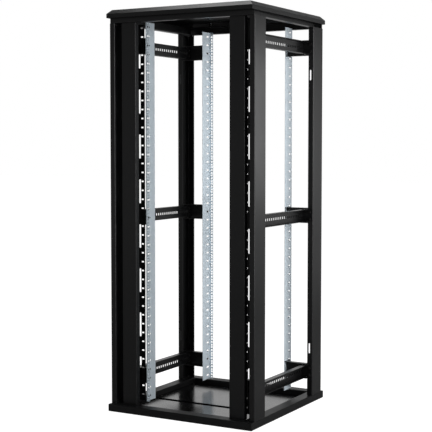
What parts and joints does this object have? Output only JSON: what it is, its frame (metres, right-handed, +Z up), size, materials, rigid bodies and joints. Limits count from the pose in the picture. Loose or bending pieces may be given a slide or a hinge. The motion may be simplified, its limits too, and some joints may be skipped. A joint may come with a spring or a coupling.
{
  "type": "network server rack cabinet frame",
  "caption": "Open-frame network rack cabinet: folded black posts, base and vented roof, with zinc 19-inch rails that slide in depth on slotted side bars.",
  "frame": {"origin": "middle of the footprint, on the floor under the base", "axes": "+Z up, +X to the right as seen from the front, front towards -Y, rear towards +Y"},
  "size_m": [0.8, 0.8, 1.97],
  "materials": {
    "coat": "semi-gloss black powder coat",
    "zinc": "bright blue-white zinc plate",
    "fastener": "black zinc-plated steel"
  },
  "bodies": {
    "frame": {"base_front_beam": "coat", "base_rear_beam": "coat", "base_left_beam": "coat", "base_right_beam": "coat", "base_anchor_plates": "coat", "floor_cross_strip": "coat", "floor_front_panel": "coat", "floor_rear_panel": "coat", "floor_screws": "fastener", "post_front_left": "coat", "post_front_right": "coat", "post_rear_left": "coat", "post_rear_right": "coat", "post_end_plates": "coat", "post_bolts": "fastener", "top_front_beam": "coat", "top_rear_beam": "coat", "top_left_beam": "coat", "top_right_beam": "coat", "roof_cover": "coat", "roof_spacers": "fastener", "roof_screws": "fastener", "roof_vent_plate": "coat", "roof_cable_plate": "coat", "roof_plate_screws": "fastener", "front_strip_left": "coat", "front_strip_right": "coat", "strip_screws": "fastener", "cable_plate_left": "coat", "cable_plate_right": "coat", "plate_screws": "fastener", "depth_bar_left_low": "coat", "depth_bar_left_mid": "coat", "depth_bar_left_top": "coat", "depth_bar_right_low": "coat", "depth_bar_right_mid": "coat", "depth_bar_right_top": "coat", "bar_cleats": "coat", "bar_bolts": "fastener"},
    "front_left_rail": {"rail_front_left": "zinc", "bracket_front_left_low": "coat", "bracket_front_left_mid": "coat", "bracket_front_left_top": "coat", "fixings_front_left": "fastener"},
    "front_right_rail": {"rail_front_right": "zinc", "bracket_front_right_low": "coat", "bracket_front_right_mid": "coat", "bracket_front_right_top": "coat", "fixings_front_right": "fastener"},
    "rear_left_rail": {"rail_rear_left": "zinc", "bracket_rear_left_low": "coat", "bracket_rear_left_mid": "coat", "bracket_rear_left_top": "coat", "fixings_rear_left": "fastener"},
    "rear_right_rail": {"rail_rear_right": "zinc", "bracket_rear_right_low": "coat", "bracket_rear_right_mid": "coat", "bracket_rear_right_top": "coat", "fixings_rear_right": "fastener"}
  },
  "joints": [
    {"name": "front_left_rail_depth", "type": "slide", "parent": "frame", "child": "front_left_rail", "axis": [0, 1, 0], "range_m": [0, 0.2]},
    {"name": "front_right_rail_depth", "type": "slide", "parent": "frame", "child": "front_right_rail", "axis": [0, 1, 0], "range_m": [0, 0.2]},
    {"name": "rear_left_rail_depth", "type": "slide", "parent": "frame", "child": "rear_left_rail", "axis": [0, 1, 0], "range_m": [-0.2, 0]},
    {"name": "rear_right_rail_depth", "type": "slide", "parent": "frame", "child": "rear_right_rail", "axis": [0, 1, 0], "range_m": [-0.2, 0]}
  ]
}
